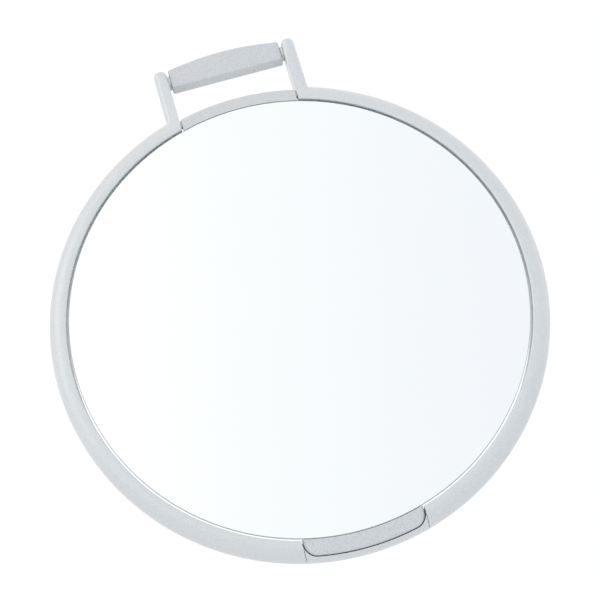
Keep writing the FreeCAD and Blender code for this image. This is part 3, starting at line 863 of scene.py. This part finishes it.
def make_edge_group():
    """Where the surface turns a corner: 1 on the edge, 0 away from it; the mask for a painted
    highlight along the edges.
    """
    tree, given, out = new_group("edge_highlight", [("Width", 0.0006), ("Break Up", 300.0)], ["Edge"])
    rounded = tree.nodes.new("ShaderNodeBevel")
    rounded.samples = 6
    tree.links.new(given.outputs["Width"], rounded.inputs["Radius"])
    surface = tree.nodes.new("ShaderNodeNewGeometry")
    compare = tree.nodes.new("ShaderNodeVectorMath")
    compare.operation = "DOT_PRODUCT"
    tree.links.new(rounded.outputs["Normal"], compare.inputs[0])
    tree.links.new(surface.outputs["Normal"], compare.inputs[1])
    turn = map_range(tree, compare.outputs["Value"], 0.98, 0.80)
    patches = noise(tree, object_place(tree), given.outputs["Break Up"], 3.0, 0.6)
    lit_edge = maths(tree, "MULTIPLY", turn, map_range(tree, patches, 0.35, 0.65))
    tree.links.new(lit_edge, out.inputs["Edge"])
    return tree


GRAIN = make_grain_group()
FLAKES = make_flake_group()
HANDLING = make_handling_group()
EDGE_HIGHLIGHT = make_edge_group()


def new_material(name, roughness=0.5, metallic=0.0, coat=0.0, coat_roughness=0.1):
    """A material: its tree and Principled shader, with the plain values set on the shader."""
    material = bpy.data.materials.new(name)
    material.use_nodes = True
    tree = material.node_tree
    shader = tree.nodes["Principled BSDF"]
    shader.inputs["Roughness"].default_value = roughness
    shader.inputs["Metallic"].default_value = metallic
    shader.inputs["Coat Weight"].default_value = coat
    shader.inputs["Coat Roughness"].default_value = coat_roughness
    return material, tree, shader


def place_group(tree, group, **values):
    node = tree.nodes.new("ShaderNodeGroup")
    node.node_tree = group
    for label, value in values.items():
        node.inputs[label.replace("_", " ")].default_value = value
    return node.outputs


def tint(tree, mask, colour_from, colour_to):
    """A colour that goes from one to the other as the mask, or another colour socket, rises."""
    node = tree.nodes.new("ShaderNodeMix")
    node.data_type = "RGBA"
    tree.links.new(mask, node.inputs["Factor"])
    for label, colour in (("A", colour_from), ("B", colour_to)):
        if isinstance(colour, tuple):
            node.inputs[label].default_value = (*colour, 1)
        else:
            tree.links.new(colour, node.inputs[label])
    return node.outputs["Result"]


def bump(tree, shader, height, strength, distance):
    node = tree.nodes.new("ShaderNodeBump")
    node.inputs["Strength"].default_value = strength
    node.inputs["Distance"].default_value = distance
    tree.links.new(height, node.inputs["Height"])
    tree.links.new(node.outputs["Normal"], shader.inputs["Normal"])


def silver_paint():
    """Satin silver paint on moulded plastic, with a painted highlight along its edges."""
    material, tree, shader = new_material("silver_paint", metallic=0.45, coat=0.25,
                                          coat_roughness=0.18)
    flakes = place_group(tree, FLAKES, Scale=2600.0)
    handling = place_group(tree, HANDLING, Smudge_Scale=26.0, Dust_Amount=0.25)
    edge = place_group(tree, EDGE_HIGHLIGHT, Width=0.0005, Break_Up=420.0)
    paint = tint(tree, flakes["Sparkle"], SILVER_DARK, SILVER_LIGHT)
    # painted highlight: the edges are tinted towards a lighter silver
    silver_edge_highlight = tint(tree, maths(tree, "MULTIPLY", edge["Edge"], 0.35), paint, SILVER_EDGE_LIT)
    dusty = tint(tree, handling["Dust"], silver_edge_highlight, (0.70, 0.69, 0.67))
    tree.links.new(dusty, shader.inputs["Base Color"])
    rough = map_range(tree, handling["Smudge"], 0, 1, 0.34, 0.42)
    tree.links.new(maths(tree, "ADD", rough, maths(tree, "MULTIPLY", handling["Scratch"], 0.06)),
                   shader.inputs["Roughness"])
    bump(tree, shader, flakes["Height"], 0.12, 0.00004)
    return material


def moulded_grey(name, light, dark, scale, strength, roughness):
    """Grey moulded plastic or soft rubber, grained by its mould, with painted shade in the grain's
    hollows and a painted highlight along its edges.
    """
    material, tree, shader = new_material(name)
    grain = place_group(tree, GRAIN, Scale=scale, Fine=0.5)
    handling = place_group(tree, HANDLING, Smudge_Scale=34.0, Dust_Amount=0.35)
    edge = place_group(tree, EDGE_HIGHLIGHT, Width=0.0006, Break_Up=500.0)
    # painted shade: the grain's hollows take the dark grey, its tops the light grey
    tone = tint(tree, grain["Shade"], dark, light)
    # painted highlight: the edges are tinted towards a lighter grey
    grey_edge_highlight = tint(tree, maths(tree, "MULTIPLY", edge["Edge"], 0.25), tone,
                    tuple(min(1.0, channel * 1.12) for channel in light))
    dusty = tint(tree, handling["Dust"], grey_edge_highlight, (0.72, 0.71, 0.69))
    tree.links.new(dusty, shader.inputs["Base Color"])
    rough = map_range(tree, handling["Smudge"], 0, 1, roughness, roughness - 0.08)
    tree.links.new(rough, shader.inputs["Roughness"])
    bump(tree, shader, grain["Height"], strength, 0.00012)
    return material


def mirror_silver():
    """Silvered glass: almost clean, with faint wiped smudges and a few specks."""
    material, tree, shader = new_material("mirror_silver", metallic=1.0)
    handling = place_group(tree, HANDLING, Smudge_Scale=14.0, Dust_Amount=0.5)
    haze = tint(tree, maths(tree, "MULTIPLY", handling["Smudge"], 0.12), (0.985, 0.99, 0.995),
                (0.955, 0.965, 0.975))
    dusty = tint(tree, maths(tree, "MULTIPLY", handling["Dust"], 0.10), haze, (0.86, 0.87, 0.88))
    tree.links.new(dusty, shader.inputs["Base Color"])
    rough = map_range(tree, handling["Smudge"], 0, 1, 0.012, 0.03)
    tree.links.new(maths(tree, "ADD", rough, maths(tree, "MULTIPLY", handling["Dust"], 0.06)),
                   shader.inputs["Roughness"])
    return material


def ground_glass():
    """The greenish ground edge of the glass, with the wheel's fine marks."""
    material, tree, shader = new_material("ground_glass", coat=0.3)
    place = object_place(tree)
    marks = noise(tree, place, 1400.0, 2.0, 0.6)
    tree.links.new(tint(tree, marks, (0.42, 0.55, 0.52), (0.62, 0.72, 0.70)),
                   shader.inputs["Base Color"])
    tree.links.new(map_range(tree, marks, 0.3, 0.7, 0.28, 0.45), shader.inputs["Roughness"])
    bump(tree, shader, marks, 0.2, 0.00003)
    return material


def backing_paint():
    """Grey protective paint on the back of the mirror, rolled on."""
    material, tree, shader = new_material("backing_paint")
    rolled = noise(tree, object_place(tree), 520.0, 3.0, 0.6)
    tree.links.new(tint(tree, rolled, (0.20, 0.22, 0.23), (0.27, 0.29, 0.30)),
                   shader.inputs["Base Color"])
    tree.links.new(map_range(tree, rolled, 0.3, 0.7, 0.45, 0.6), shader.inputs["Roughness"])
    bump(tree, shader, rolled, 0.25, 0.00005)
    return material


def turned_metal(name, light, dark, roughness, streak_scale):
    """Bright metal with fine drawn or turned streaks across X."""
    material, tree, shader = new_material(name, metallic=1.0)
    stretch = tree.nodes.new("ShaderNodeMapping")
    stretch.inputs["Scale"].default_value = streak_scale
    tree.links.new(object_place(tree), stretch.inputs["Vector"])
    streaks = noise(tree, stretch.outputs["Vector"], 60.0, 3.0, 0.6)
    stains = noise(tree, object_place(tree), 160.0, 3.0, 0.5)
    metal = tint(tree, streaks, dark, light)
    dull = tint(tree, maths(tree, "MULTIPLY", map_range(tree, stains, 0.5, 0.8), 0.4), metal,
                tuple(channel * 0.7 for channel in dark))
    tree.links.new(dull, shader.inputs["Base Color"])
    tree.links.new(map_range(tree, streaks, 0.3, 0.7, roughness, roughness + 0.15),
                   shader.inputs["Roughness"])
    bump(tree, shader, streaks, 0.15, 0.00003)
    return material


def speckled(name, light, dark, scale, roughness, strength):
    """A plain small-part plastic, rubber or foam, mottled at its own scale."""
    material, tree, shader = new_material(name)
    place = object_place(tree)
    coarse = noise(tree, place, scale, 4.0, 0.6)
    tree.links.new(tint(tree, coarse, dark, light), shader.inputs["Base Color"])
    tree.links.new(map_range(tree, coarse, 0.3, 0.7, roughness, roughness + 0.12),
                   shader.inputs["Roughness"])
    bump(tree, shader, coarse, strength, 0.0001)
    return material


# ---------------------------------------------------------------- assembly

def finish_piece(piece, body, slot, material, *nodes):
    """Give a piece its material and body, and let it stand for the CAD nodes named; slot is not used.
    """
    piece.data.materials.clear()
    piece.data.materials.append(material)
    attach(piece, body)
    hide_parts(*nodes)


def paint_glass(glass):
    """Mirror in front, ground edge round it, paint behind."""
    for material in (ground_glass(), backing_paint()):
        glass.data.materials.append(material)
    for face in glass.data.polygons:
        if face.normal.y > FACING:
            face.material_index = 2
        elif face.normal.y > -FACING:
            face.material_index = 1


make_camera()
make_world()
make_floor()
make_area_light("key", place=(-1.6, -1.5, 1.2), target=(0, 0, 0), size=1.6, power=2.5)

silver = silver_paint()
grey = moulded_grey("grey_plastic", GREY_LIGHT, GREY_DARK, 1500.0, 0.25, 0.52)
soft = moulded_grey("grey_soft", SOFT_LIGHT, SOFT_DARK, 1000.0, 0.45, 0.62)
mirror = mirror_silver()
zinc = turned_metal("zinc_steel", (0.66, 0.67, 0.68), (0.50, 0.51, 0.52), 0.28, (1, 30, 30))
stainless = turned_metal("spring_steel", (0.60, 0.60, 0.61), (0.42, 0.42, 0.43), 0.22,
                         (1, 30, 30))
dark_steel = turned_metal("nickel_magnet", (0.55, 0.55, 0.54), (0.40, 0.40, 0.39), 0.3,
                          (20, 20, 1))
nylon = speckled("nylon", (0.78, 0.77, 0.73), (0.70, 0.69, 0.65), 900.0, 0.35, 0.1)
foam = speckled("foam", (0.80, 0.80, 0.79), (0.55, 0.55, 0.54), 1800.0, 0.9, 0.8)
rubber = speckled("foot_rubber", (0.55, 0.56, 0.57), (0.40, 0.41, 0.42), 1400.0, 0.7, 0.4)

finish_piece(frame_front(), "frame", "silver_paint", silver, "frame_front")
finish_piece(frame_rear(), "frame", "silver_paint", silver, "frame_rear")
finish_piece(grip_sleeve(), "frame", "grey_soft", soft, "grip_sleeve")
finish_piece(frame_screws(), "frame", "steel", zinc, "frame_screws")
finish_piece(foot_pads(), "frame", "foot_rubber", rubber, "foot_pads")
finish_piece(mirror_carrier(), "mirror", "grey_plastic", grey, "mirror_carrier")
finish_piece(carrier_cover(), "mirror", "grey_plastic", grey, "carrier_cover")
finish_piece(cover_screws(), "mirror", "steel", zinc, "cover_screws")
finish_piece(pull_tab(), "mirror", "grey_soft", soft, "pull_tab")
glass = mirror_glass()
finish_piece(glass, "mirror", "mirror", mirror, "mirror_glass")
paint_glass(glass)

SMALL_PARTS = {"steel": zinc, "spring_steel": stainless, "magnet": dark_steel, "nylon": nylon,
               "foam": foam, "foot_rubber": rubber, "grey_plastic": grey}
for part in frame["record"]["subparts"]:
    node = frame["nodes"][part["node"]]
    if not node.hide_render:
        for index in range(len(node.material_slots)):
            node.material_slots[index].material = SMALL_PARTS[part["material_slot"]]

bpy.context.scene.view_settings.view_transform = "Standard"
